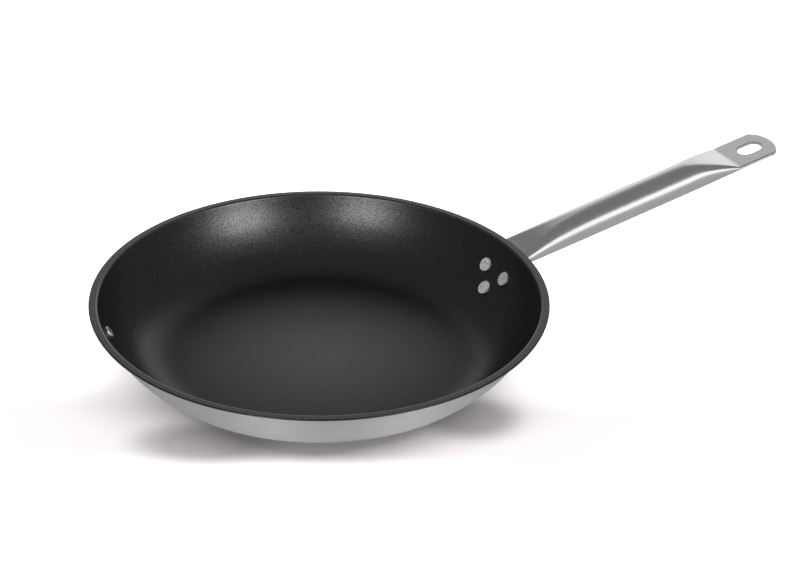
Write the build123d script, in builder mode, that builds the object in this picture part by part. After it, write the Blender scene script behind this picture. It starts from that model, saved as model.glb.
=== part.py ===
from build123d import *
import math
import os

# Omelette pan: a flared steel body with a non-stick coating, a bonded sandwich base
# and a tube handle that is pressed flat at both ends and riveted on.
# The origin is the centre of the face that the pan rests on. +Z is up and the handle points along +X.

# Pan body and coating
rim_diameter = 280.0
inner_depth = 39.6  # from the floor to the top of the rim
wall_run = 44.8  # from the edge of the flat floor to the top of the wall, seen from above
flange_width = 5.6  # from the top of the wall to the rim's outer edge
knuckle_turn = 42.6  # slope in degrees where the tight knuckle passes into the wall
wall_turn = 68.8  # slope in degrees at the top of the wall
shell_wall = 1.0
coating_thickness = 0.2
lip_bend = 0.6  # radius of the bend under the flange
rim_edge_round = 0.7
coating_lap = 0.8  # how far the coating comes down round the rim's edge

# Sandwich base
disc_thickness = 4.5
cap_wall = 0.7
base_inset = 3.6  # from the edge of the flat floor back to the side of the base
cap_corner_round = 1.4  # inside the cap's corner

# Handle
tube_diameter = 20.8
tube_wall = 1.1
tube_flat = 0.5  # flat left on the top and bottom of the round tube
handle_rise = 10.0  # degrees
handle_drop = 5.2  # from the top of the rim down to the tube's axis, at the rim's edge
bend_radius = 10.0  # at the middle of the flattened tube, where it turns down onto the wall
neck_length = 70.0  # from the rim's edge out to where the tube is round
crease_reach = 166.5  # from the rim's edge to the crease of the hanging plate, along the axis
flare_length = 40.0  # from the round tube to that crease
plate_length = 35.5
end_round = 22.0  # of the plate's end and the tongue's end
end_corner_round = 9.0
hang_hole_length = 17.6
hang_hole_width = 12.0
hang_hole_setback = 16.7  # from the plate's end to the middle of the hole
hang_hole_round = 0.3
tongue_tail = 9.0  # from the lower rivet to the end of the tongue
seam_inset = 0.6  # how far the tube's pressed end lies inside the tongue
seam_taper = 2.4  # how much narrower that end is, each side

# Rivets
upper_rivet_depth = 16.3  # below the top of the rim
lower_rivet_depth = 26.0
rivet_side_distance = 5.16  # from the middle of an upper rivet to the side of the tongue
rivet_shank = 5.0
rivet_head = 9.4
rivet_head_height = 1.3
closing_head = 8.0
closing_head_height = 1.8
head_edge_round = 0.4
closing_head_round = 1.4
plug_azimuth = 162.25  # degrees round from the handle
plug_depth = 13.25
plug_shank = 4.0
plug_head = 7.6
plug_head_height = 0.7
plug_closing_head = 6.0
plug_closing_height = 1.0
plug_closing_round = 0.8
shank_clearance = 0.05
head_clearance = 0.02

# How high the pressed tube stands: shares of the bend, the neck or the flare, and of the round tube
bend_shares = ((0.0, 0.34), (0.25, 0.27), (0.5, 0.19))
seam_share = 0.8
neck_shares = ((0.07, 0.435), (0.14, 0.53), (0.28, 0.71), (0.43, 0.85), (0.64, 0.945), (0.85, 0.99))
flare_shares = ((0.14, 0.985), (0.34, 0.90), (0.56, 0.73), (0.76, 0.52), (0.92, 0.29))
slit_shares = (0.975, 0.14)  # where the hollow ends, just short of the crease

# Derived sizes of the vessel
sheet = coating_thickness + shell_wall
base_height = cap_wall + disc_thickness
floor_height = base_height + sheet
pan_height = floor_height + inner_depth
rim_radius = rim_diameter / 2
shell_edge = rim_radius - coating_thickness
wall_top_radius = rim_radius - flange_width
floor_radius = wall_top_radius - wall_run
base_radius = floor_radius - base_inset
lip_radius = lip_bend + sheet
knuckle_sin = math.sin(math.radians(knuckle_turn))
knuckle_cos = math.cos(math.radians(knuckle_turn))
wall_sin = math.sin(math.radians(wall_turn))
wall_cos = math.cos(math.radians(wall_turn))
wall_rise = inner_depth - lip_radius * (1 - wall_cos)

# Two tangent arcs, the knuckle and the wall, together take up the run and the rise
arc_divisor = knuckle_sin * (knuckle_cos - wall_cos) - (wall_sin - knuckle_sin) * (1 - knuckle_cos)
knuckle_radius = (wall_run * (knuckle_cos - wall_cos) - wall_rise * (wall_sin - knuckle_sin)) / arc_divisor
wall_radius = (wall_rise * knuckle_sin - wall_run * (1 - knuckle_cos)) / arc_divisor
knuckle_centre = (floor_radius, floor_height + knuckle_radius)
wall_centre = (
    floor_radius - (wall_radius - knuckle_radius) * knuckle_sin,
    floor_height + knuckle_radius + (wall_radius - knuckle_radius) * knuckle_cos,
)
lip_centre = (wall_top_radius + lip_radius * wall_sin, pan_height - lip_radius)

# Derived sizes of the handle
tongue_thickness = 2 * tube_wall
tube_round = tube_diameter / 2
flat_half_width = tube_wall + math.pi * (tube_round - tube_wall) / 2 + tube_flat / 2
rise_sin = math.sin(math.radians(handle_rise))
rise_cos = math.cos(math.radians(handle_rise))
axis_height = pan_height - handle_drop
tongue_middle = sheet + tube_wall  # from the coating's face to the middle of the tongue
rivet_pitch = 2 * (flat_half_width - rivet_side_distance)


def turn_point(centre, radius, turn):
    """The point of an arc where its tangent slopes by turn degrees, measured from straight below."""
    angle = math.radians(turn)
    return (centre[0] + radius * math.sin(angle), centre[1] - radius * math.cos(angle))


def turn_arc(centre, radius, first, last):
    return ThreePointArc(*(turn_point(centre, radius, turn) for turn in (first, (first + last) / 2, last)))


def bowl_lines(depth, edge):
    """Draws the vessel's surface at a depth under the coating's face, from the middle out to an edge."""
    Line((0, floor_height - depth), (floor_radius, floor_height - depth))
    turn_arc(knuckle_centre, knuckle_radius + depth, 0, knuckle_turn)
    turn_arc(wall_centre, wall_radius + depth, knuckle_turn, wall_turn)
    turn_arc(lip_centre, depth - lip_radius, wall_turn, 0)
    Line((lip_centre[0], pan_height - depth), (edge, pan_height - depth))


def edge_lines(edge, rounding, top, bottom):
    """Draws the rim's edge from the end of the flange's top, round the corner and down."""
    turn_arc((edge - rounding, top - rounding), rounding, 180, 90)
    Line((edge, top - rounding), (edge, bottom))


def wall_place(depth):
    """The slope in degrees and the coating's point on the wall at a depth below the top of the rim."""
    height = pan_height - depth
    centre, radius = wall_centre, wall_radius
    if height < knuckle_centre[1] - knuckle_radius * knuckle_cos:
        centre, radius = knuckle_centre, knuckle_radius
    turn = math.degrees(math.acos((centre[1] - height) / radius))
    return turn, turn_point(centre, radius, turn)


def rivet_plane(depth, azimuth):
    """A plane on the coating at a rivet, facing the inside of the pan."""
    turn, (radius, height) = wall_place(depth)
    round_sin, round_cos = math.sin(math.radians(azimuth)), math.cos(math.radians(azimuth))
    turn_sin, turn_cos = math.sin(math.radians(turn)), math.cos(math.radians(turn))
    return Plane(
        origin=(radius * round_cos, radius * round_sin, height),
        x_dir=(-round_sin, round_cos, 0),
        z_dir=(-turn_sin * round_cos, -turn_sin * round_sin, turn_cos),
    )


def rivet_holes(planes, shank, stack):
    """Cuts a hole for each rivet through a stack of sheets under the coating's face."""
    with Locations(*planes):
        Cylinder(shank / 2 + shank_clearance, 2 * (stack + shank), mode=Mode.SUBTRACT)


upper_radius = wall_place(upper_rivet_depth)[1][0]
pair_azimuth = math.degrees(math.asin(rivet_pitch / 2 / upper_radius))
handle_rivet_planes = [
    rivet_plane(upper_rivet_depth, pair_azimuth),
    rivet_plane(upper_rivet_depth, -pair_azimuth),
    rivet_plane(lower_rivet_depth, 0),
]
plug_planes = [rivet_plane(plug_depth, plug_azimuth)]


# Pan body: the pressed steel shell with its flared wall and flat rim
with BuildPart() as pan_body:
    with BuildSketch(Plane.XZ):
        with BuildLine():
            bowl_lines(sheet, shell_edge)
            bowl_lines(coating_thickness, rim_radius - rim_edge_round)
            edge_lines(shell_edge, rim_edge_round - coating_thickness,
                       pan_height - coating_thickness, pan_height - sheet)
            Line((0, floor_height - sheet), (0, floor_height - coating_thickness))
        make_face()
    revolve(axis=Axis.Z)
    rivet_holes(handle_rivet_planes, rivet_shank, sheet)
    rivet_holes(plug_planes, plug_shank, sheet)

# Non-stick coating: it covers the whole inside and laps over the rim's edge
with BuildPart() as nonstick_coating:
    with BuildSketch(Plane.XZ):
        with BuildLine():
            bowl_lines(coating_thickness, rim_radius - rim_edge_round)
            bowl_lines(0, rim_radius - rim_edge_round)
            edge_lines(shell_edge, rim_edge_round - coating_thickness,
                       pan_height - coating_thickness, pan_height - coating_lap)
            edge_lines(rim_radius, rim_edge_round, pan_height, pan_height - coating_lap)
            Line((shell_edge, pan_height - coating_lap), (rim_radius, pan_height - coating_lap))
            Line((0, floor_height - coating_thickness), (0, floor_height))
        make_face()
    revolve(axis=Axis.Z)
    rivet_holes(handle_rivet_planes, rivet_shank, sheet)
    rivet_holes(plug_planes, plug_shank, sheet)

# Base: a thick aluminium disc under the floor, held in a shallow steel cap
with BuildPart() as base_disc:
    with BuildSketch(Plane.XY.offset(cap_wall)):
        Circle(base_radius - cap_wall)
    extrude(amount=disc_thickness)
    fillet(base_disc.edges().group_by(Axis.Z)[0], cap_corner_round)

with BuildPart() as base_cap:
    with BuildSketch():
        Circle(base_radius)
    extrude(amount=base_height)
    fillet(base_cap.edges().group_by(Axis.Z)[0], cap_corner_round + cap_wall)
    offset(amount=-cap_wall, openings=base_cap.faces().sort_by(Axis.Z)[-1])


# Handle: its axis is straight out to the plate, and the root turns down onto the wall
def axis_point(reach, lift=0):
    """The x and z of a point on the handle's axis, or above it by lift, at a reach from the rim's edge."""
    return (
        rim_radius + reach * rise_cos - lift * rise_sin,
        axis_height + reach * rise_sin + lift * rise_cos,
    )


def axis_plane(reach):
    """A plane across the tube, with its x across the handle and its y upward."""
    x, z = axis_point(reach)
    return Plane(origin=(x, 0, z), x_dir=(0, 1, 0), z_dir=(rise_cos, 0, rise_sin))


# The bend is tangent to the axis and to the middle of the tongue on the wall
under_axis_x, under_axis_z = axis_point(0, -bend_radius)
from_wall_x, from_wall_z = under_axis_x - wall_centre[0], under_axis_z - wall_centre[1]
along_axis = from_wall_x * rise_cos + from_wall_z * rise_sin
centre_distance = wall_radius + tongue_middle + bend_radius
bend_reach = -along_axis + math.sqrt(along_axis**2 - from_wall_x**2 - from_wall_z**2 + centre_distance**2)
bend_centre = axis_point(bend_reach, -bend_radius)
bend_end_turn = math.degrees(math.atan2(bend_centre[0] - wall_centre[0], wall_centre[1] - bend_centre[1]))


def bend_plane(share):
    """A plane across the bend, at a share of its turn from the straight tube."""
    turn = handle_rise + share * (bend_end_turn - handle_rise)
    x, z = turn_point(bend_centre, -bend_radius, turn)
    turn_sin, turn_cos = math.sin(math.radians(turn)), math.cos(math.radians(turn))
    return Plane(origin=(x, 0, z), x_dir=(0, 1, 0), z_dir=(turn_cos, 0, turn_sin))


def pressed_section(plane, half_height, half_width):
    """A section with flat top and bottom and round sides."""
    straight = half_width - half_height
    with BuildSketch(plane) as section:
        with BuildLine():
            Line((-straight, half_height), (straight, half_height))
            ThreePointArc((straight, half_height), (half_width, 0), (straight, -half_height))
            Line((straight, -half_height), (-straight, -half_height))
            ThreePointArc((-straight, -half_height), (-half_width, 0), (-straight, half_height))
        make_face()
    return section.sketch


def pressed_half_width(half_height):
    """Half the width of the tube pressed to a height: the sheet's length round it stays the same."""
    return half_height + math.pi * (tube_round - half_height) / 2 + tube_flat / 2


def tube_sections(places, inset):
    """The tube's sections at planes and shares of its round height, each drawn in by an inset."""
    return [
        pressed_section(plane, share * tube_round - inset, pressed_half_width(share * tube_round) - inset)
        for plane, share in places
    ]


flare_start = crease_reach - flare_length
round_length = flare_start - neck_length
flat_share = tube_wall / tube_round
root_places = [(bend_plane(turned), height) for turned, height in reversed(bend_shares)]
root_places += [(axis_plane(length * neck_length), height) for length, height in neck_shares]
root_places += [(axis_plane(neck_length), 1)]
flare_places = [(axis_plane(flare_start), 1)]
flare_places += [
    (axis_plane(flare_start + length * flare_length), height) for length, height in flare_shares
]
crease_place = (axis_plane(crease_reach), flat_share)
slit_place = (axis_plane(flare_start + slit_shares[0] * flare_length), slit_shares[1])
seam_section = pressed_section(bend_plane(seam_share), tube_wall - seam_inset, flat_half_width - seam_taper)


def end_outline(plane, length, start_width, start_length):
    """A flat end seen from above: it widens a little, runs straight and ends in a large round."""
    end_sagitta = end_round - math.sqrt(end_round**2 - flat_half_width**2)
    with BuildSketch(plane) as outline:
        with BuildLine():
            Polyline(
                (length - end_sagitta, -flat_half_width),
                (start_length, -flat_half_width),
                (0, -start_width),
                (0, start_width),
                (start_length, flat_half_width),
                (length - end_sagitta, flat_half_width),
            )
            ThreePointArc(
                (length - end_sagitta, flat_half_width),
                (length, 0),
                (length - end_sagitta, -flat_half_width),
            )
        make_face()
        fillet(outline.vertices().group_by(Axis.X)[-1], end_corner_round)
    return outline.sketch


def tongue_lines(depth):
    """Draws the tongue's side at a depth under the coating's face, from the knuckle up round the bend."""
    turn_arc(knuckle_centre, knuckle_radius + depth, 0, knuckle_turn)
    turn_arc(wall_centre, wall_radius + depth, knuckle_turn, bend_end_turn)
    turn_arc(bend_centre, depth - tongue_middle - bend_radius, bend_end_turn, handle_rise)


# Tongue: the doubled sheet that lies on the wall and carries the rivets
tail_angle = math.radians(wall_place(lower_rivet_depth)[0])
tongue_down = (-math.cos(tail_angle), 0, -math.sin(tail_angle))
bend_start_x, bend_start_z = axis_point(bend_reach)
lower_rivet_x, lower_rivet_z = wall_place(lower_rivet_depth)[1]
tongue_length = (
    (bend_start_x - lower_rivet_x) * math.cos(tail_angle)
    + (bend_start_z - lower_rivet_z) * math.sin(tail_angle)
    + tongue_tail
)
tongue_plane = Plane(
    origin=(bend_start_x, 0, bend_start_z),
    x_dir=tongue_down,
    z_dir=(-math.sin(tail_angle), 0, math.cos(tail_angle)),
)
with BuildPart() as tongue:
    with BuildSketch(Plane.XZ):
        with BuildLine():
            tongue_lines(sheet)
            tongue_lines(sheet + tongue_thickness)
            Line(turn_point(knuckle_centre, knuckle_radius + sheet, 0),
                 turn_point(knuckle_centre, knuckle_radius + sheet + tongue_thickness, 0))
            Line(axis_point(bend_reach, tube_wall), axis_point(bend_reach, -tube_wall))
        make_face()
    revolve(axis=Axis.Z)
    swallowed_width = pressed_half_width(bend_shares[0][1] * tube_round) - seam_inset
    extrude(end_outline(tongue_plane, tongue_length, swallowed_width, bend_radius),
            amount=tongue_length, both=True, mode=Mode.INTERSECT)

# Hanging plate: the doubled sheet beyond the crease
plate_x, plate_z = axis_point(crease_reach)
plate_plane = Plane(
    origin=(plate_x, 0, plate_z),
    x_dir=(rise_cos, 0, rise_sin),
    z_dir=(-rise_sin, 0, rise_cos),
)
with BuildPart() as plate:
    extrude(pressed_section(axis_plane(crease_reach), tube_wall, flat_half_width), amount=plate_length)
    extrude(end_outline(plate_plane, plate_length, flat_half_width, flat_half_width),
            amount=tongue_thickness, both=True, mode=Mode.INTERSECT)
    with BuildSketch(plate_plane):
        with Locations((plate_length - hang_hole_setback, 0)):
            SlotOverall(hang_hole_length, hang_hole_width)
    extrude(amount=tongue_thickness, both=True, mode=Mode.SUBTRACT)
    fillet(plate.edges(Select.LAST), hang_hole_round)

# Handle: one tube, open in the middle and pressed together at both ends
with BuildPart() as handle:
    add(tongue.part)
    loft([seam_section] + tube_sections(root_places, 0))
    extrude(tube_sections(root_places[-1:], 0)[0], amount=round_length)
    loft(tube_sections(flare_places + [crease_place], 0))
    add(plate.part)
    loft(tube_sections(root_places, tube_wall), mode=Mode.SUBTRACT)
    extrude(tube_sections(root_places[-1:], tube_wall)[0], amount=round_length, mode=Mode.SUBTRACT)
    loft(tube_sections(flare_places + [slit_place], tube_wall), mode=Mode.SUBTRACT)
    rivet_holes(handle_rivet_planes, rivet_shank, sheet + tongue_thickness)


def rivet(head, shank, closing, stack, seat):
    """A set rivet along Z: a flat head above its seat, a shank through the stack and a closing head."""
    head_width, head_height = head
    closing_width, closing_height, closing_round = closing
    with BuildPart() as form:
        with BuildSketch(Plane.XZ):
            with BuildLine():
                Polyline(
                    (0, seat + head_height),
                    (head_width / 2, seat + head_height),
                    (head_width / 2, seat),
                    (shank / 2, seat),
                    (shank / 2, -stack),
                    (closing_width / 2, -stack),
                    (closing_width / 2, -stack - closing_height),
                    (0, -stack - closing_height),
                    close=True,
                )
            make_face()
        revolve(axis=Axis.Z)
        fillet(form.edges().group_by(Axis.Z)[-1], head_edge_round)
        fillet(form.edges().group_by(Axis.Z)[0], closing_round)
    return form.part


def seat_height(head):
    """How far a flat head of a width stands off the hollow wall under its middle."""
    return wall_radius - math.sqrt(wall_radius**2 - (head / 2) ** 2) + head_clearance


# Rivets: three hold the handle, and one closes the hole on the far side
with BuildPart() as handle_rivets:
    with Locations(*handle_rivet_planes):
        add(rivet((rivet_head, rivet_head_height), rivet_shank,
                  (closing_head, closing_head_height, closing_head_round),
                  sheet + tongue_thickness + head_clearance, seat_height(rivet_head)))

with BuildPart() as plug_rivet:
    with Locations(*plug_planes):
        add(rivet((plug_head, plug_head_height), plug_shank,
                  (plug_closing_head, plug_closing_height, plug_closing_round),
                  sheet + head_clearance, seat_height(plug_head)))

os.makedirs("parts", exist_ok=True)
pan_body.part.label = "pan_body"
export_step(pan_body.part, "parts/pan_body.step")
nonstick_coating.part.label = "nonstick_coating"
export_step(nonstick_coating.part, "parts/nonstick_coating.step")
base_disc.part.label = "base_disc"
export_step(base_disc.part, "parts/base_disc.step")
base_cap.part.label = "base_cap"
export_step(base_cap.part, "parts/base_cap.step")
handle.part.label = "handle"
export_step(handle.part, "parts/handle.step")
handle_rivets.part.label = "handle_rivets"
export_step(handle_rivets.part, "parts/handle_rivets.step")
plug_rivet.part.label = "plug_rivet"
export_step(plug_rivet.part, "parts/plug_rivet.step")
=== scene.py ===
import math

import bmesh
import bpy
from mathutils import Matrix, Vector


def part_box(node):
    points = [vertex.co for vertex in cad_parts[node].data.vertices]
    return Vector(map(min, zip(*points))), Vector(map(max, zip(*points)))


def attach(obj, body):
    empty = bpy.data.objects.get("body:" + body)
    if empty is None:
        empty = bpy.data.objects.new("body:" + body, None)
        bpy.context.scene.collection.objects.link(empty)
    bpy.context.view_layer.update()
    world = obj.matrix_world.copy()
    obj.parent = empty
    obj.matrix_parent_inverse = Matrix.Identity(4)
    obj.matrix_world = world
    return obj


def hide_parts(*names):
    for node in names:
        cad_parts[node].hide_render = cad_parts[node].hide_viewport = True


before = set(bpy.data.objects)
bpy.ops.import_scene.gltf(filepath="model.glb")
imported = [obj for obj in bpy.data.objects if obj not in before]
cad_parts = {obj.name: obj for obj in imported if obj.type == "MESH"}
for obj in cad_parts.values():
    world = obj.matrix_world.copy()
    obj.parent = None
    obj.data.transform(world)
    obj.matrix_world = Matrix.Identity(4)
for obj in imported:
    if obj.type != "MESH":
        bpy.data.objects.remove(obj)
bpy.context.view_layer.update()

MM = 0.001  # one millimetre in metres

# Places read from the frame
RIM_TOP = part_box("nonstick_coating")[1].z
RIM_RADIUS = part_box("nonstick_coating")[1].x

# The vessel's wall where the handle's tongue lies
INNER_DEPTH = 39.6 * MM
WALL_RUN = 44.8 * MM
FLANGE_WIDTH = 5.6 * MM
KNUCKLE_TURN = math.radians(42.6)
WALL_TURN = math.radians(68.8)
LIP_RADIUS = 1.8 * MM
SHEET = 1.2 * MM
WALL_TOP_RADIUS = RIM_RADIUS - FLANGE_WIDTH  # where the wall ends and the lip's round begins

# Handle
TUBE_ROUND = 10.4 * MM  # half its height
TUBE_WALL = 1.1 * MM
TUBE_FLAT = 0.5 * MM
HANDLE_RISE = math.radians(10.0)
HANDLE_DROP = 5.2 * MM
BEND_RADIUS = 10.0 * MM
NECK_LENGTH = 70.0 * MM
CREASE_REACH = 166.5 * MM
FLARE_LENGTH = 40.0 * MM
PLATE_LENGTH = 35.5 * MM
END_ROUND = 22.0 * MM
END_CORNER = 9.0 * MM
EDGE_ROUND = 0.25 * MM
HOLE_LENGTH = 17.6 * MM
HOLE_WIDTH = 12.0 * MM
HOLE_SETBACK = 16.7 * MM
HOLE_EDGE_ROUND = 0.35 * MM
LOWER_RIVET_DEPTH = 26.0 * MM
TONGUE_TAIL = 9.0 * MM

# How high the pressed tube stands, as shares of the bend, the neck or the flare, and of the round tube
BEND_SHARES = ((1.0, 0.106), (0.8, 0.122), (0.5, 0.19), (0.25, 0.27), (0.0, 0.34))
NECK_SHARES = ((0.07, 0.435), (0.14, 0.53), (0.28, 0.71), (0.43, 0.85), (0.64, 0.945), (0.85, 0.99), (1, 1))
FLARE_SHARES = ((0.0, 1.0), (0.14, 0.98), (0.34, 0.88), (0.56, 0.68), (0.76, 0.45), (0.92, 0.23), (1, 0.106))
CORNER_POWER = 0.8  # how full the upper side of the flare is: 1 is round

# The handle's mesh
RING_POINTS = 144
FLAT_STEP = 1.2 * MM
BEND_STEP = 0.5 * MM
NECK_STEP = 1.0 * MM
TUBE_STEP = 4.0 * MM
FLARE_STEP = 0.8 * MM
END_SHARE = 0.7  # where the last straight ring lies, in end rounds before the tip
END_STEPS = 12
EDGE_ANGLES = (30, 60, 90)
HOLE_POINTS = 96
CUTTER_REACH = 2.2 * MM  # how far the hole's cutter reaches past each face of the plate
SHARP_ANGLE = math.radians(24)

# The photograph's camera. The handle points this far away from the photograph's right.
HANDLE_AZIMUTH = math.radians(29.934)
CAMERA_LENS = 100.0
CAMERA_SENSOR = 36.0
CAMERA_ELEVATION = math.radians(29.314)
CAMERA_ROLL = math.radians(1.219)
CAMERA_DISTANCE = 1354.0 * MM
CAMERA_SIDE = 48.6 * MM
CAMERA_LIFT = 9.0 * MM
CAMERA_CLIP = (0.05, 60)

# Studio: a white backdrop behind the pan in a dim room, and a pale floor. Angles are in degrees.
ROOM_LEVEL = 0.22
OVERHEAD_LEVEL = 0.26
OVERHEAD_HEIGHTS = (0.5, 0.9)  # as sines of the elevation, where the room turns into overhead
BACKDROP_LEVEL = 1.25
BACKDROP_AZIMUTH = 84
BACKDROP_SIDES = (32, 12)  # off its middle, where it starts and where it is full
BACKDROP_FADE = (20, 56)  # above the horizon, where it starts to fade and where it has gone
ZENITH_GUARD = 1.0001  # a little over 1, so that nothing is divided by zero straight up
WHITE = (1, 1, 1, 1)
HANDLE_BOX_RUN = 120 * MM  # the handle's own lamp faces it here

FLOOR_RADIUS = 6.0
FLOOR_POINTS = 96
FLOOR_GAP = 0.2 * MM
FLOOR_PALE = (0.52, 0.52, 0.52, 1)
# A faint painted glow on the paper that the pan reflects, which lifts the floor's shade
FLOOR_PALE_GLOW = 0.13

# The floor that the camera sees is whiter than the paper and has a faint painted glow, and painted light
# makes it lighter in front of the pan, behind it and far from it, which clears the pan's shadow and the
# lamps' falloff there.
# Its places are to the right and away in the photograph.
FLOOR_SEEN = (1.18, 1.14, 1.14)
FLOOR_SEEN_GLOW = (0.062, 0.055, 0.055, 1)
FLOOR_FAR = (170 * MM, 500 * MM)
FLOOR_FAR_GAIN = 1.6
FLOOR_BACK = (-62 * MM, 0)
FLOOR_BACK_GAIN = 2.1
FLOOR_FRONT = (-126 * MM, -103 * MM)
FLOOR_FRONT_GAIN = 1.35

# Painted shadow on the floor, where the pan's shadow is deepest: the middle of each place and how far it
# reaches
PAINTED_FLOOR_SHADOWS = (
    ((-62 * MM, -96 * MM, 0), (47 * MM, 24 * MM, 1)),
    ((92 * MM, -62 * MM, 0), (33 * MM, 26 * MM, 1)),
)
PAINTED_SHADOW_FADE = (0.45, 1.25)  # in reaches
PAINTED_SHADOW_DEPTH = 0.45

# Coating
COATING_TONES = ((0.004, 0.004, 0.0042), (0.006, 0.006, 0.0062))
COATING_ROUGHNESS = 0.33
COATING_CLOUDS = 30
COATING_GRAIN = 1500
GRAIN_DEPTH = 0.05 * MM
GRAIN_RANGE = (0.36, 0.64)
GLOSS_RANGE = (0.24, 0.78)
GLOSS_MIDDLE = 0.51
CALM_RADII = (96 * MM, 122 * MM)  # the grain is calmer inside these
CALM_SHARE = 0.25
DULL_RADII = (12 * MM, 82 * MM)  # from the floor's middle the gloss falls
DULL_GLOSS = 0.36
WALL_RADII = (90 * MM, 108 * MM)  # and up the wall it comes back
LIP_PLACE = (WALL_TOP_RADIUS + 0.6 * MM, RIM_TOP - 0.4 * MM, 0)
LIP_REACH = (0.5 * MM, 1.0 * MM)
LIP_GLOSS = 0.4
FLANGE_RADII = (WALL_TOP_RADIUS + 1.4 * MM, WALL_TOP_RADIUS + 2.4 * MM)
FLANGE_GLOSS = 0.8

# Steel of the body and of the handle. The smaller a stretch, the longer the streaks, and 0 is endless.
SATIN_TONES = ((0.52, 0.52, 0.515), (0.67, 0.67, 0.665))
SATIN_ROUGHNESS = (0.38, 0.46)
SATIN_ANISOTROPY = 0.8
SATIN_STREAKS = 2600
SATIN_STREAK_STRETCH = 0.004
SATIN_STREAK_SHARE = 0.6
SATIN_CLOUDS = 35
SATIN_CLOUD_STRETCH = 0.1
BRUSHED_TONES = ((0.46, 0.46, 0.46), (0.73, 0.73, 0.73))
BRUSHED_ROUGHNESS = (0.22, 0.28)
BRUSHED_ANISOTROPY = 0.6
BRUSHED_GIRTH = 65.8 * MM
BRUSHED_STREAKS = 2600
BRUSHED_STREAK_STRETCH = 0.03
BRUSHED_BANDS = 420
BRUSHED_BAND_STRETCH = 0.08
ACROSS_BRUSHING = 0.25  # of a full turn
STREAK_RANGE = (0.3, 0.7)
STREAK_DEPTH = 0.004 * MM

# Rivets and the disc in the base
BLASTED_TONES = ((0.42, 0.415, 0.41), (0.95, 0.95, 0.94))
BLASTED_MOTTLE = 900
BLASTED_RANGE = (0.35, 0.65)
BLASTED_DEPTH = 0.15 * MM
ALUMINIUM_GRAIN = 400
ALUMINIUM_ROUGHNESS = (0.38, 0.5)


def photo_vector(right, away, up):
    """A vector in the part's frame, from its parts to the right, away and up in the photograph."""
    return Matrix.Rotation(-HANDLE_AZIMUTH, 3, "Z") @ Vector((right, away, up))


def photo_direction(azimuth, elevation):
    """A direction from its azimuth, from the photograph's right towards away, and its elevation."""
    turn, rise = math.radians(azimuth), math.radians(elevation)
    return photo_vector(math.cos(turn) * math.cos(rise), math.sin(turn) * math.cos(rise), math.sin(rise))


def add_object(name, data):
    """A new object in the scene."""
    item = bpy.data.objects.new(name, data)
    bpy.context.scene.collection.objects.link(item)
    return item


def mesh_of(name, form):
    """A mesh from a bmesh, which is freed."""
    mesh = bpy.data.meshes.new(name)
    form.to_mesh(mesh)
    form.free()
    return mesh


def make_camera():
    forward = photo_vector(0, math.cos(CAMERA_ELEVATION), -math.sin(CAMERA_ELEVATION))
    level_right = photo_vector(1, 0, 0)
    level_up = photo_vector(0, math.sin(CAMERA_ELEVATION), math.cos(CAMERA_ELEVATION))
    right = level_right * math.cos(CAMERA_ROLL) + level_up * math.sin(CAMERA_ROLL)
    up = level_up * math.cos(CAMERA_ROLL) - level_right * math.sin(CAMERA_ROLL)
    place = level_right * CAMERA_SIDE + level_up * CAMERA_LIFT - forward * CAMERA_DISTANCE
    place.z += RIM_TOP
    camera = add_object("camera", bpy.data.cameras.new("camera"))
    camera.data.lens = CAMERA_LENS
    camera.data.sensor_width = CAMERA_SENSOR
    camera.data.clip_start, camera.data.clip_end = CAMERA_CLIP
    camera.matrix_world = Matrix.Translation(place) @ Matrix((right, up, -forward)).transposed().to_4x4()
    return camera


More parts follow.
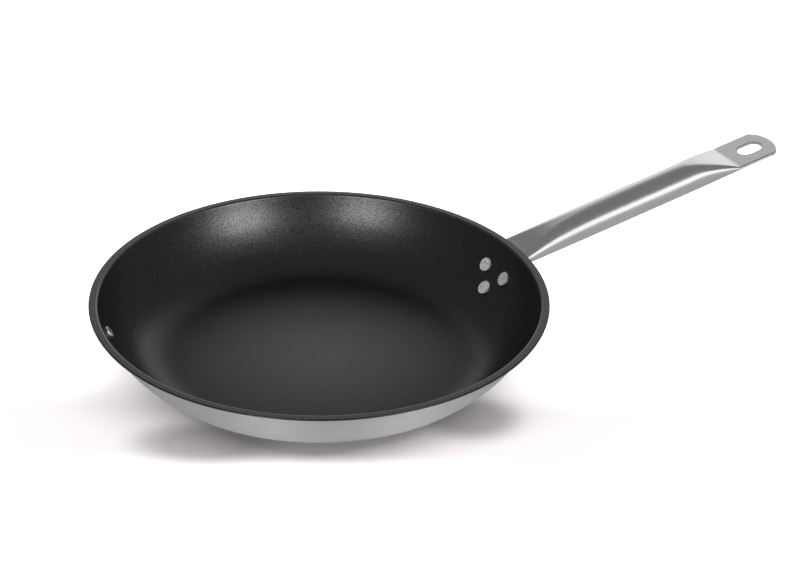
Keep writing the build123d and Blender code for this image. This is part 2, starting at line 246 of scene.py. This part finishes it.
class Graph:
    """The emptied node tree of a material or a world, with short calls that fill it.

    A value is a plain number or tuple, or the output of another node.
    """

    def __init__(self, owner):
        owner.use_nodes = True
        self.nodes = owner.node_tree.nodes
        self.links = owner.node_tree.links
        self.nodes.clear()

    def feed(self, socket, value):
        if isinstance(value, bpy.types.NodeSocket):
            self.links.new(value, socket)
        else:
            socket.default_value = value

    def add(self, kind, **values):
        """A node with inputs fed by their names."""
        node = self.nodes.new(kind)
        for name, value in values.items():
            self.feed(node.inputs[name], value)
        return node

    def join(self, kind, *values, **settings):
        """A node with settings, and with its inputs fed in their order."""
        node = self.nodes.new(kind)
        for name, setting in settings.items():
            setattr(node, name, setting)
        for socket, value in zip(node.inputs, values):
            self.feed(socket, value)
        return node

    def math(self, operation, *values):
        return self.join("ShaderNodeMath", *values, operation=operation).outputs[0]

    def vector(self, operation, *values):
        return self.join("ShaderNodeVectorMath", *values, operation=operation).outputs["Vector"]

    def measure(self, operation, *values):
        """A number from one or two vectors."""
        return self.join("ShaderNodeVectorMath", *values, operation=operation).outputs["Value"]

    def combine(self, *parts):
        return self.join("ShaderNodeCombineXYZ", *parts).outputs[0]

    def split(self, place):
        """The three parts of a vector."""
        return list(self.add("ShaderNodeSeparateXYZ", Vector=place).outputs)

    def remap(self, value, before, after, kind="SMOOTHSTEP"):
        """A value taken from the range before to the range after, and held inside it."""
        node = self.join("ShaderNodeMapRange", interpolation_type=kind)
        self.feed(node.inputs["Value"], value)
        for name, number in zip(("From Min", "From Max", "To Min", "To Max"), (*before, *after)):
            node.inputs[name].default_value = number
        return node.outputs[0]

    def noise(self, place, scale, detail, roughness=0.5):
        node = self.add("ShaderNodeTexNoise", Vector=place, Scale=scale, Detail=detail, Roughness=roughness)
        return node.outputs["Fac"]

    def tone(self, factor, tones):
        """A colour between two tones."""
        node = self.join("ShaderNodeMix", data_type="RGBA")
        self.feed(node.inputs["Factor"], factor)
        for name, color in zip("AB", tones):
            node.inputs[name].default_value = (*color, 1)
        return node.outputs["Result"]

    def place(self):
        """The place on the piece, in metres."""
        return self.nodes.new("ShaderNodeTexCoord").outputs["Object"]

    def radius(self, x, y):
        """The distance from the pan's axis."""
        squares = self.math("ADD", self.math("MULTIPLY", x, x), self.math("MULTIPLY", y, y))
        return self.math("SQRT", squares)

    def bump(self, height, distance, strength):
        node = self.add("ShaderNodeBump", Strength=strength, Distance=distance, Height=height)
        return node.outputs["Normal"]

    def for_camera(self, others, seen):
        """A shader that differs for the camera's own rays."""
        path = self.nodes.new("ShaderNodeLightPath")
        return self.join("ShaderNodeMixShader", path.outputs["Is Camera Ray"], others, seen).outputs[0]

    def end(self, kind, shader):
        self.links.new(shader, self.nodes.new(kind).inputs["Surface"])


def make_world():
    world = bpy.data.worlds.new("studio")
    bpy.context.scene.world = world
    graph = Graph(world)
    direction = graph.nodes.new("ShaderNodeTexCoord").outputs["Generated"]
    height = graph.split(direction)[2]
    towards = graph.measure("DOT_PRODUCT", direction, photo_direction(BACKDROP_AZIMUTH, 0))
    level = graph.math("SQRT", graph.math("SUBTRACT", ZENITH_GUARD, graph.math("MULTIPLY", height, height)))
    turned = graph.math("DIVIDE", towards, level)
    sides = [math.cos(math.radians(angle)) for angle in BACKDROP_SIDES]
    fade = [math.sin(math.radians(angle)) for angle in BACKDROP_FADE]
    backdrop = graph.math("MULTIPLY", graph.remap(turned, sides, (0, 1)), graph.remap(height, fade, (1, 0)))
    room_glow = graph.remap(height, OVERHEAD_HEIGHTS, (ROOM_LEVEL, OVERHEAD_LEVEL))
    glow = graph.math("ADD", room_glow, graph.math("MULTIPLY", backdrop, BACKDROP_LEVEL - ROOM_LEVEL))
    room = graph.add("ShaderNodeBackground", Color=WHITE, Strength=glow)
    white = graph.add("ShaderNodeBackground", Color=WHITE)
    graph.end("ShaderNodeOutputWorld", graph.for_camera(room.outputs[0], white.outputs[0]))


def floor_material():
    """Pale paper with a faint painted glow, and for the camera a whiter one that glows too, with painted
    light that clears the pan's shadow round it and painted shadow where that shadow is deepest.
    """
    material = bpy.data.materials.new("floor_paper")
    graph = Graph(material)
    place = graph.place()
    away = graph.split(place)[1]
    # Painted light: the gain rises far from the pan, behind it and in front of it
    far = graph.remap(graph.measure("LENGTH", place), FLOOR_FAR, (1, FLOOR_FAR_GAIN))
    back = graph.remap(away, FLOOR_BACK, (1, FLOOR_BACK_GAIN))
    front = graph.remap(away, FLOOR_FRONT, (FLOOR_FRONT_GAIN, 1))
    gain = graph.math("MAXIMUM", graph.math("MAXIMUM", far, back), front)
    # Painted shadow: the gain falls round each place where the pan's shadow is deepest
    for middle, reach in PAINTED_FLOOR_SHADOWS:
        moved = graph.vector("SUBTRACT", place, middle)
        shade = graph.measure("LENGTH", graph.vector("DIVIDE", moved, reach))
        gain = graph.math("MULTIPLY", gain, graph.remap(shade, PAINTED_SHADOW_FADE, (PAINTED_SHADOW_DEPTH, 1)))
    scaled = graph.join("ShaderNodeVectorMath", FLOOR_SEEN, operation="SCALE")
    graph.feed(scaled.inputs["Scale"], gain)
    seen = graph.add("ShaderNodeBsdfDiffuse", Color=scaled.outputs[0])
    # Painted glows: the floor gives light of its own, for the camera and for other rays
    lift = graph.add("ShaderNodeEmission", Color=FLOOR_SEEN_GLOW)
    pale = graph.add("ShaderNodeBsdfDiffuse", Color=FLOOR_PALE)
    pale_glow = graph.add("ShaderNodeEmission", Strength=FLOOR_PALE_GLOW)
    plain = graph.join("ShaderNodeAddShader", pale.outputs[0], pale_glow.outputs[0])
    shown = graph.join("ShaderNodeAddShader", seen.outputs[0], lift.outputs[0])
    graph.end("ShaderNodeOutputMaterial", graph.for_camera(plain.outputs[0], shown.outputs[0]))
    return material


def make_floor():
    form = bmesh.new()
    bmesh.ops.create_circle(form, cap_ends=True, segments=FLOOR_POINTS, radius=FLOOR_RADIUS)
    floor = add_object("floor", mesh_of("floor", form))
    floor.rotation_euler.z = -HANDLE_AZIMUTH
    floor.location.z = -FLOOR_GAP
    floor.data.materials.append(floor_material())
    return floor


def softbox(name, azimuth, elevation, distance, width, height, radiance):
    """A soft box that faces the pan. A radiance of 1 looks white."""
    direction = photo_direction(azimuth, elevation)
    data = bpy.data.lights.new(name, "AREA")
    data.shape = "RECTANGLE"
    data.size = width
    data.size_y = height
    data.energy = radiance * math.pi * width * height
    light = add_object(name, data)
    light.location = direction * distance
    light.location.z += RIM_TOP
    light.rotation_mode = "QUATERNION"
    light.rotation_quaternion = direction.to_track_quat("Z", "Y")
    light.visible_camera = False
    return light


bpy.context.scene.camera = make_camera()
make_world()
floor = make_floor()
right_box = softbox(
    "right_box", azimuth=-42.5, elevation=28, distance=3.0, width=1.05, height=1.25, radiance=15.0)
left_box = softbox(
    "left_box", azimuth=-113, elevation=28, distance=3.0, width=1.05, height=1.25, radiance=12.5)
floor_box = softbox(
    "floor_box", azimuth=-90, elevation=58.2, distance=5.0, width=9.5, height=1.0, radiance=7.8)
rivet_box = softbox(
    "rivet_box", azimuth=165, elevation=24, distance=3.0, width=2.0, height=1.6, radiance=0.58)
handle_box = softbox(
    "handle_box", azimuth=-42, elevation=11, distance=0.7, width=0.5, height=0.36, radiance=1.7)


# Handle: a tube pressed flat at both ends, as rings of points along its axis
def slot_point(half_height, half_width, share, power=1.0):
    """A point round a section with flat top and bottom and round sides, at a share of its length.

    A power below 1 makes the upper corners fuller.
    """
    straight = half_width - half_height
    quarter = straight + math.pi * half_height / 2
    turn, part = divmod(share * 4, 1)
    run = quarter * (1 - part if turn % 2 else part)
    side = 1 if turn < 2 else -1
    up = 1 if turn in (0, 3) else -1
    if run < straight:
        return side * run, up * half_height
    angle = (run - straight) / half_height
    power = power if up > 0 else 1
    across = straight + half_height * math.sin(angle) ** power
    return side * across, up * half_height * max(0, math.cos(angle)) ** power


def smooth_table(table):
    """A smooth curve through a table of places and values, without overshoot."""
    places = [place for place, value in table]
    values = [value for place, value in table]
    steps = [b - a for a, b in zip(places, places[1:])]
    slopes = [(b - a) / step for a, b, step in zip(values, values[1:], steps)]
    tangents = [slopes[0]]
    for before, after in zip(slopes, slopes[1:]):
        tangents.append(0 if before * after <= 0 else 2 * before * after / (before + after))
    tangents.append(slopes[-1])

    def curve(place):
        if place <= places[0]:
            return values[0]
        if place >= places[-1]:
            return values[-1]
        i = max(n for n in range(len(steps)) if places[n] <= place)
        t = (place - places[i]) / steps[i]
        return (
            (1 + 2 * t) * (1 - t) ** 2 * values[i] + t * (1 - t) ** 2 * steps[i] * tangents[i]
            + t * t * (3 - 2 * t) * values[i + 1] + t * t * (t - 1) * steps[i] * tangents[i + 1]
        )
    return curve


def smooth_step(low, high, value):
    t = min(1, max(0, (value - low) / (high - low)))
    return t * t * (3 - 2 * t)


# The wall's two arcs as in the part
pan_floor_height = RIM_TOP - INNER_DEPTH
pan_floor_radius = WALL_TOP_RADIUS - WALL_RUN
wall_rise = INNER_DEPTH - LIP_RADIUS * (1 - math.cos(WALL_TURN))
knuckle_sin, knuckle_cos = math.sin(KNUCKLE_TURN), math.cos(KNUCKLE_TURN)
wall_sin, wall_cos = math.sin(WALL_TURN), math.cos(WALL_TURN)
arc_divisor = knuckle_sin * (knuckle_cos - wall_cos) - (wall_sin - knuckle_sin) * (1 - knuckle_cos)
knuckle_radius = (WALL_RUN * (knuckle_cos - wall_cos) - wall_rise * (wall_sin - knuckle_sin)) / arc_divisor
wall_radius = (wall_rise * knuckle_sin - WALL_RUN * (1 - knuckle_cos)) / arc_divisor
knuckle_centre = Vector((pan_floor_radius, 0, pan_floor_height + knuckle_radius))
wall_centre = knuckle_centre + (wall_radius - knuckle_radius) * Vector((-knuckle_sin, 0, knuckle_cos))

# The bend that turns the flattened tube down onto the wall
axis_start = Vector((RIM_RADIUS, 0, RIM_TOP - HANDLE_DROP))
axis_along = Vector((math.cos(HANDLE_RISE), 0, math.sin(HANDLE_RISE)))
axis_up = Vector((-math.sin(HANDLE_RISE), 0, math.cos(HANDLE_RISE)))
tongue_middle = SHEET + TUBE_WALL
from_wall = axis_start - axis_up * BEND_RADIUS - wall_centre
centre_distance = wall_radius + tongue_middle + BEND_RADIUS
along = from_wall.dot(axis_along)
bend_reach = -along + math.sqrt(along**2 - from_wall.length_squared + centre_distance**2)
bend_centre = axis_start + axis_along * bend_reach - axis_up * BEND_RADIUS
bend_end_turn = math.atan2(bend_centre.x - wall_centre.x, wall_centre.z - bend_centre.z)
bend_length = BEND_RADIUS * (bend_end_turn - HANDLE_RISE)
wall_start = bend_reach - bend_length
wall_arc = (wall_radius + tongue_middle) * (bend_end_turn - KNUCKLE_TURN)

# The runs at which the handle's outline changes, and its flat ends
flare_start = CREASE_REACH - FLARE_LENGTH
crease_end = CREASE_REACH + PLATE_LENGTH
lower_turn = math.acos((wall_centre.z - (RIM_TOP - LOWER_RIVET_DEPTH)) / wall_radius)
lower_rivet_run = (wall_radius + tongue_middle) * (bend_end_turn - lower_turn)
tongue_end = wall_start - lower_rivet_run - TONGUE_TAIL
half_flat = TUBE_WALL + math.pi * (TUBE_ROUND - TUBE_WALL) / 2 + TUBE_FLAT / 2
neck_curve = smooth_table(
    [(bend_reach - share * bend_length, height) for share, height in BEND_SHARES]
    + [(share * NECK_LENGTH, height) for share, height in NECK_SHARES])
flare_curve = smooth_table([(flare_start + share * FLARE_LENGTH, height) for share, height in FLARE_SHARES])


def turned(centre, radius, turn):
    """A point on an arc, at a turn from straight down."""
    return centre + radius * Vector((math.sin(turn), 0, -math.cos(turn)))


def path_place(run):
    """The point and the slope of the handle's middle line, at a run along it from the rim's edge."""
    if run >= bend_reach:
        return axis_start + axis_along * run, HANDLE_RISE
    if run >= wall_start:
        turn = HANDLE_RISE + (bend_reach - run) / BEND_RADIUS
        return turned(bend_centre, -BEND_RADIUS, turn), turn
    if run >= wall_start - wall_arc:
        turn = bend_end_turn - (wall_start - run) / (wall_radius + tongue_middle)
        return turned(wall_centre, wall_radius + tongue_middle, turn), turn
    turn = KNUCKLE_TURN - (wall_start - wall_arc - run) / (knuckle_radius + tongue_middle)
    return turned(knuckle_centre, knuckle_radius + tongue_middle, turn), turn


def section_at(run):
    """Half the height and half the width of the tube at a run along the handle."""
    if run >= CREASE_REACH or run <= wall_start:
        height = TUBE_WALL
    else:
        height = max(TUBE_WALL, TUBE_ROUND * (flare_curve(run) if run > NECK_LENGTH else neck_curve(run)))
    return height, height + math.pi * (TUBE_ROUND - height) / 2 + TUBE_FLAT / 2


def end_setback(across):
    """How far the end's outline lies back from its tip at a place across the plate or the tongue."""
    across = min(abs(across), half_flat)
    corner_middle = half_flat - END_CORNER
    corner_back = END_ROUND - math.sqrt((END_ROUND - END_CORNER) ** 2 - corner_middle**2)
    tangent = corner_middle * END_ROUND / (END_ROUND - END_CORNER)
    if across <= tangent:
        return END_ROUND - math.sqrt(END_ROUND**2 - across**2)
    return corner_back - math.sqrt(END_CORNER**2 - (across - corner_middle) ** 2)


def handle_point(run, across, lift):
    """A point at a run along the handle, a distance across it and a lift off its middle line."""
    place, turn = path_place(run)
    place = place + lift * Vector((-math.sin(turn), 0, math.cos(turn)))
    wrapped = 1 - smooth_step(wall_start, bend_reach, run)
    around = math.sqrt(place.x**2 - across**2)
    return Vector((place.x + wrapped * (around - place.x), across, place.z))


def spaced(first, last, step):
    """Places from first up to but not including last, at most a step apart."""
    count = max(1, math.ceil((last - first) / step))
    return [first + (last - first) * i / count for i in range(count)]


def section_ring(run):
    """The ring of points round the handle at a run along it, each as (run, across, lift)."""
    half_height, half_width = section_at(run)
    bent = smooth_step(flare_start, flare_start + FLARE_LENGTH / 2, run) if run < CREASE_REACH else 0
    power = 1 + (CORNER_POWER - 1) * bent
    points = [slot_point(half_height, half_width, i / RING_POINTS, power) for i in range(RING_POINTS)]
    return [(run, across, lift) for across, lift in points]


def end_rings(square, tip, sign):
    """Rings that stretch from a straight one to the end's outline, the last ones round its edge."""
    points = [slot_point(TUBE_WALL, half_flat, i / RING_POINTS) for i in range(RING_POINTS)]
    rings = []
    for i in range(1, END_STEPS + 1):
        ring = []
        for across, lift in points:
            edge = tip - sign * (end_setback(across) + EDGE_ROUND)
            ring.append((square + (edge - square) * i / END_STEPS, across, lift))
        rings.append(ring)
    straight = rings[-1]
    for angle in EDGE_ANGLES:
        out = EDGE_ROUND * math.sin(math.radians(angle))
        inward = EDGE_ROUND * (1 - math.cos(math.radians(angle)))
        shrink = 1 - inward / TUBE_WALL
        ring = []
        for run, across, lift in straight:
            narrow = max(0, abs(across) - (half_flat - TUBE_WALL)) * (1 - shrink)
            ring.append((run + sign * out, across - math.copysign(narrow, across), lift * shrink))
        rings.append(ring)
    return rings


def handle_rings():
    """The handle's rings from the tongue's end to the plate's end."""
    tongue_square = tongue_end + END_ROUND * END_SHARE
    plate_square = crease_end - END_ROUND * END_SHARE
    runs = [
        *spaced(tongue_square, wall_start, FLAT_STEP),
        *spaced(wall_start, bend_reach, BEND_STEP),
        *spaced(bend_reach, NECK_LENGTH, NECK_STEP),
        *spaced(NECK_LENGTH, flare_start, TUBE_STEP),
        *spaced(flare_start, CREASE_REACH, FLARE_STEP),
        *spaced(CREASE_REACH, plate_square, FLAT_STEP),
        plate_square,
    ]
    start = list(reversed(end_rings(tongue_square, tongue_end, -1)))
    return start + [section_ring(run) for run in runs] + end_rings(plate_square, crease_end, 1)


def cap_ring(form, ring):
    """Closes a ring with strips from its top to its bottom."""
    half = len(ring) // 2
    faces = []
    for i in range(half // 2):
        right = (ring[i], ring[i + 1], ring[half - i - 1], ring[half - i])
        left = (ring[-i], ring[-i - 1], ring[half + i + 1], ring[half + i])
        faces += [form.faces.new(list(dict.fromkeys(corners))) for corners in (right, left)]
    return faces


def handle_form():
    """The handle's skin. In its map, x is the run along it and y the share round it."""
    form = bmesh.new()
    uv = form.loops.layers.uv.new("brushing")
    rings = handle_rings()
    made = [[form.verts.new(handle_point(*point)) for point in ring] for ring in rings]
    for n in range(len(made) - 1):
        for i in range(RING_POINTS):
            j = (i + 1) % RING_POINTS
            face = form.faces.new((made[n][i], made[n][j], made[n + 1][j], made[n + 1][i]))
            for loop, (row, column) in zip(face.loops, ((n, i), (n, i + 1), (n + 1, i + 1), (n + 1, i))):
                loop[uv].uv = (rings[row][column % RING_POINTS][0], column / RING_POINTS)
    for ring, points in ((made[0], rings[0]), (made[-1], rings[-1])):
        for face in cap_ring(form, ring):
            for loop in face.loops:
                loop[uv].uv = (points[0][0], 0.5)
    bmesh.ops.recalc_face_normals(form, faces=form.faces)
    return form


def hole_form():
    """The hang hole's body, which widens in a small round at both faces of the plate."""
    form = bmesh.new()
    middle = crease_end - HOLE_SETBACK
    straight = (HOLE_LENGTH - HOLE_WIDTH) / 2
    levels = [(-TUBE_WALL - CUTTER_REACH, HOLE_EDGE_ROUND + CUTTER_REACH)]
    for angle in (0, *EDGE_ANGLES):
        sine = math.sin(math.radians(angle))
        levels.append((-TUBE_WALL + HOLE_EDGE_ROUND * sine, HOLE_EDGE_ROUND * (1 - sine)))
    levels += [(-lift, flare) for lift, flare in reversed(levels)]
    rings = []
    for lift, flare in levels:
        radius = HOLE_WIDTH / 2 + flare
        ring = []
        for i in range(HOLE_POINTS):
            angle = 2 * math.pi * (i + 0.5) / HOLE_POINTS
            run = math.copysign(straight, math.cos(angle)) + radius * math.cos(angle)
            ring.append(form.verts.new(handle_point(middle + run, radius * math.sin(angle), lift)))
        rings.append(ring)
    for first, second in zip(rings, rings[1:]):
        for i in range(HOLE_POINTS):
            j = (i + 1) % HOLE_POINTS
            form.faces.new((first[i], first[j], second[j], second[i]))
    form.faces.new(rings[0])
    form.faces.new(rings[-1])
    bmesh.ops.recalc_face_normals(form, faces=form.faces)
    return form


def cut_hang_hole(piece):
    cutter = add_object("hole_cutter", mesh_of("hole_cutter", hole_form()))
    cut = piece.modifiers.new("hang_hole", "BOOLEAN")
    cut.operation = "DIFFERENCE"
    cut.solver = "EXACT"
    cut.object = cutter
    applied = bpy.data.meshes.new_from_object(piece.evaluated_get(bpy.context.evaluated_depsgraph_get()))
    piece.modifiers.clear()
    piece.data = applied
    bpy.data.objects.remove(cutter)


handle = add_object("tube_handle", mesh_of("tube_handle", handle_form()))
cut_hang_hole(handle)
for polygon in handle.data.polygons:
    polygon.use_smooth = True
handle.data.set_sharp_from_angle(angle=SHARP_ANGLE)
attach(handle, "root")
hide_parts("handle")


# What each lamp lights
def group_of(pieces, name, state):
    """A collection that a light includes or excludes."""
    group = bpy.data.collections.new(name)
    for piece in pieces:
        group.objects.link(piece)
    for member in group.collection_objects:
        member.light_linking.link_state = state
    return group


handle_box.location += handle_point(HANDLE_BOX_RUN, 0, 0) - Vector((0, 0, RIM_TOP))
handle_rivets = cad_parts["handle_rivets"]
plug_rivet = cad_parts["plug_rivet"]
for box, pieces in ((handle_box, [handle]), (rivet_box, [handle_rivets, plug_rivet]), (floor_box, [floor])):
    box.light_linking.receiver_collection = group_of(pieces, "lit_by_" + box.name, "INCLUDE")
floor_box.light_linking.blocker_collection = group_of([handle], "lets_floor_box_by", "EXCLUDE")
for box in (right_box, left_box):
    missed = group_of([handle, floor, handle_rivets], "missed_by_" + box.name, "EXCLUDE")
    box.light_linking.receiver_collection = missed


# Materials
def principled(name, color, metallic, roughness):
    """A material with a Principled shader, as the material, its graph and the shader's inputs."""
    material = bpy.data.materials.new(name)
    graph = Graph(material)
    shader = graph.add("ShaderNodeBsdfPrincipled", Metallic=metallic, Roughness=roughness)
    shader.inputs["Base Color"].default_value = (*color, 1)
    graph.end("ShaderNodeOutputMaterial", shader.outputs[0])
    return material, graph, shader.inputs


def brush(graph, inputs, anisotropy, tangent):
    """Draws the highlight out across the brushing, which runs along the tangent."""
    inputs["Anisotropic"].default_value = anisotropy
    inputs["Anisotropic Rotation"].default_value = ACROSS_BRUSHING
    graph.links.new(tangent.outputs[0], inputs["Tangent"])


def coating_material():
    """Black coating with a fine grain, duller round the floor's edge and glossy along the lip."""
    material, graph, inputs = principled(
        "nonstick_black", color=(0.005, 0.005, 0.0052), metallic=0, roughness=COATING_ROUGHNESS)
    place = graph.place()
    x, y, z = graph.split(place)
    radius = graph.radius(x, y)
    cloud = graph.noise(place, COATING_CLOUDS, detail=3)
    graph.feed(inputs["Base Color"], graph.tone(cloud, COATING_TONES))
    dulled = graph.remap(radius, DULL_RADII, (1, DULL_GLOSS), "LINEAR")
    cleared = graph.remap(radius, WALL_RADII, (0, 1 - DULL_GLOSS))
    flange = graph.remap(radius, FLANGE_RADII, (1, FLANGE_GLOSS))
    gloss = graph.math("MULTIPLY", graph.math("ADD", dulled, cleared), flange)
    grain = graph.noise(place, COATING_GRAIN, detail=1.5)
    sparkle = graph.math("SUBTRACT", graph.remap(grain, GRAIN_RANGE, GLOSS_RANGE, "LINEAR"), GLOSS_MIDDLE)
    calmed = graph.math("MULTIPLY", sparkle, graph.remap(radius, CALM_RADII, (CALM_SHARE, 1)))
    shine = graph.math("MULTIPLY", graph.math("ADD", calmed, GLOSS_MIDDLE), gloss)
    off_lip = graph.measure("DISTANCE", graph.combine(radius, z, 0), LIP_PLACE)
    lip = graph.math("MULTIPLY", graph.remap(off_lip, LIP_REACH, (1, 0)), LIP_GLOSS)
    graph.feed(inputs["Specular IOR Level"], graph.math("ADD", shine, lip))
    graph.feed(inputs["Normal"], graph.bump(grain, GRAIN_DEPTH, strength=1.0))
    return material


def satin_material():
    """Satin steel, brushed round the pan's axis."""
    material, graph, inputs = principled(
        "satin_steel", color=(0.64, 0.64, 0.635), metallic=1, roughness=0.42)
    x, y, z = graph.split(graph.place())
    azimuth = graph.math("ARCTAN2", y, x)
    radius = graph.radius(x, y)
    streak_place = graph.combine(radius, z, graph.math("MULTIPLY", azimuth, SATIN_STREAK_STRETCH))
    cloud_place = graph.combine(radius, z, graph.math("MULTIPLY", azimuth, SATIN_CLOUD_STRETCH))
    streak = graph.noise(streak_place, SATIN_STREAKS, detail=3, roughness=0.6)
    cloud = graph.noise(cloud_place, SATIN_CLOUDS, detail=2)
    mixed = graph.math(
        "ADD", graph.math("MULTIPLY", streak, SATIN_STREAK_SHARE),
        graph.math("MULTIPLY", cloud, 1 - SATIN_STREAK_SHARE))
    graph.feed(inputs["Base Color"], graph.tone(mixed, SATIN_TONES))
    graph.feed(inputs["Roughness"], graph.remap(streak, STREAK_RANGE, SATIN_ROUGHNESS))
    tangent = graph.join("ShaderNodeTangent", direction_type="RADIAL", axis="Z")
    brush(graph, inputs, SATIN_ANISOTROPY, tangent)
    graph.feed(inputs["Normal"], graph.bump(streak, STREAK_DEPTH, strength=0.5))
    return material


def brushed_material():
    """Steel brushed along the handle, by the handle's own map."""
    material, graph, inputs = principled(
        "brushed_steel", color=(0.6, 0.6, 0.6), metallic=1, roughness=0.25)
    along, share = graph.split(graph.join("ShaderNodeUVMap", uv_map="brushing").outputs[0])[:2]
    around = graph.math("MULTIPLY", share, BRUSHED_GIRTH)
    streak_place = graph.combine(graph.math("MULTIPLY", along, BRUSHED_STREAK_STRETCH), around, 0)
    band_place = graph.combine(graph.math("MULTIPLY", along, BRUSHED_BAND_STRETCH), around, 0)
    streak = graph.noise(streak_place, BRUSHED_STREAKS, detail=3, roughness=0.65)
    band = graph.noise(band_place, BRUSHED_BANDS, detail=2)
    mixed = graph.math("ADD", graph.math("MULTIPLY", streak, 0.5), graph.math("MULTIPLY", band, 0.5))
    graph.feed(inputs["Base Color"], graph.tone(mixed, BRUSHED_TONES))
    graph.feed(inputs["Roughness"], graph.remap(streak, STREAK_RANGE, BRUSHED_ROUGHNESS))
    tangent = graph.join("ShaderNodeTangent", direction_type="UV_MAP", uv_map="brushing")
    brush(graph, inputs, BRUSHED_ANISOTROPY, tangent)
    graph.feed(inputs["Normal"], graph.bump(streak, STREAK_DEPTH, strength=0.4))
    return material


def blasted_material():
    """Rivet steel with a mottled, blasted face."""
    material, graph, inputs = principled(
        "blasted_steel", color=(0.7, 0.7, 0.69), metallic=1, roughness=0.42)
    mottle = graph.noise(graph.place(), BLASTED_MOTTLE, detail=3, roughness=0.7)
    graph.feed(inputs["Base Color"], graph.tone(graph.remap(mottle, BLASTED_RANGE, (0, 1)), BLASTED_TONES))
    graph.feed(inputs["Normal"], graph.bump(mottle, BLASTED_DEPTH, strength=0.6))
    return material


def aluminium_material():
    """Plain aluminium with a fine uneven sheen."""
    material, graph, inputs = principled(
        "plain_aluminium", color=(0.72, 0.72, 0.73), metallic=1, roughness=0.42)
    grain = graph.noise(graph.place(), ALUMINIUM_GRAIN, detail=3, roughness=0.6)
    graph.feed(inputs["Roughness"], graph.remap(grain, STREAK_RANGE, ALUMINIUM_ROUGHNESS))
    return material


def dress(piece, material):
    piece.data.materials.clear()
    piece.data.materials.append(material)


satin = satin_material()
blasted = blasted_material()
dress(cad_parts["pan_body"], satin)
dress(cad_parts["base_cap"], satin)
dress(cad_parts["nonstick_coating"], coating_material())
dress(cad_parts["base_disc"], aluminium_material())
dress(handle_rivets, blasted)
dress(plug_rivet, blasted)
dress(handle, brushed_material())

bpy.context.scene.view_settings.view_transform = "Standard"
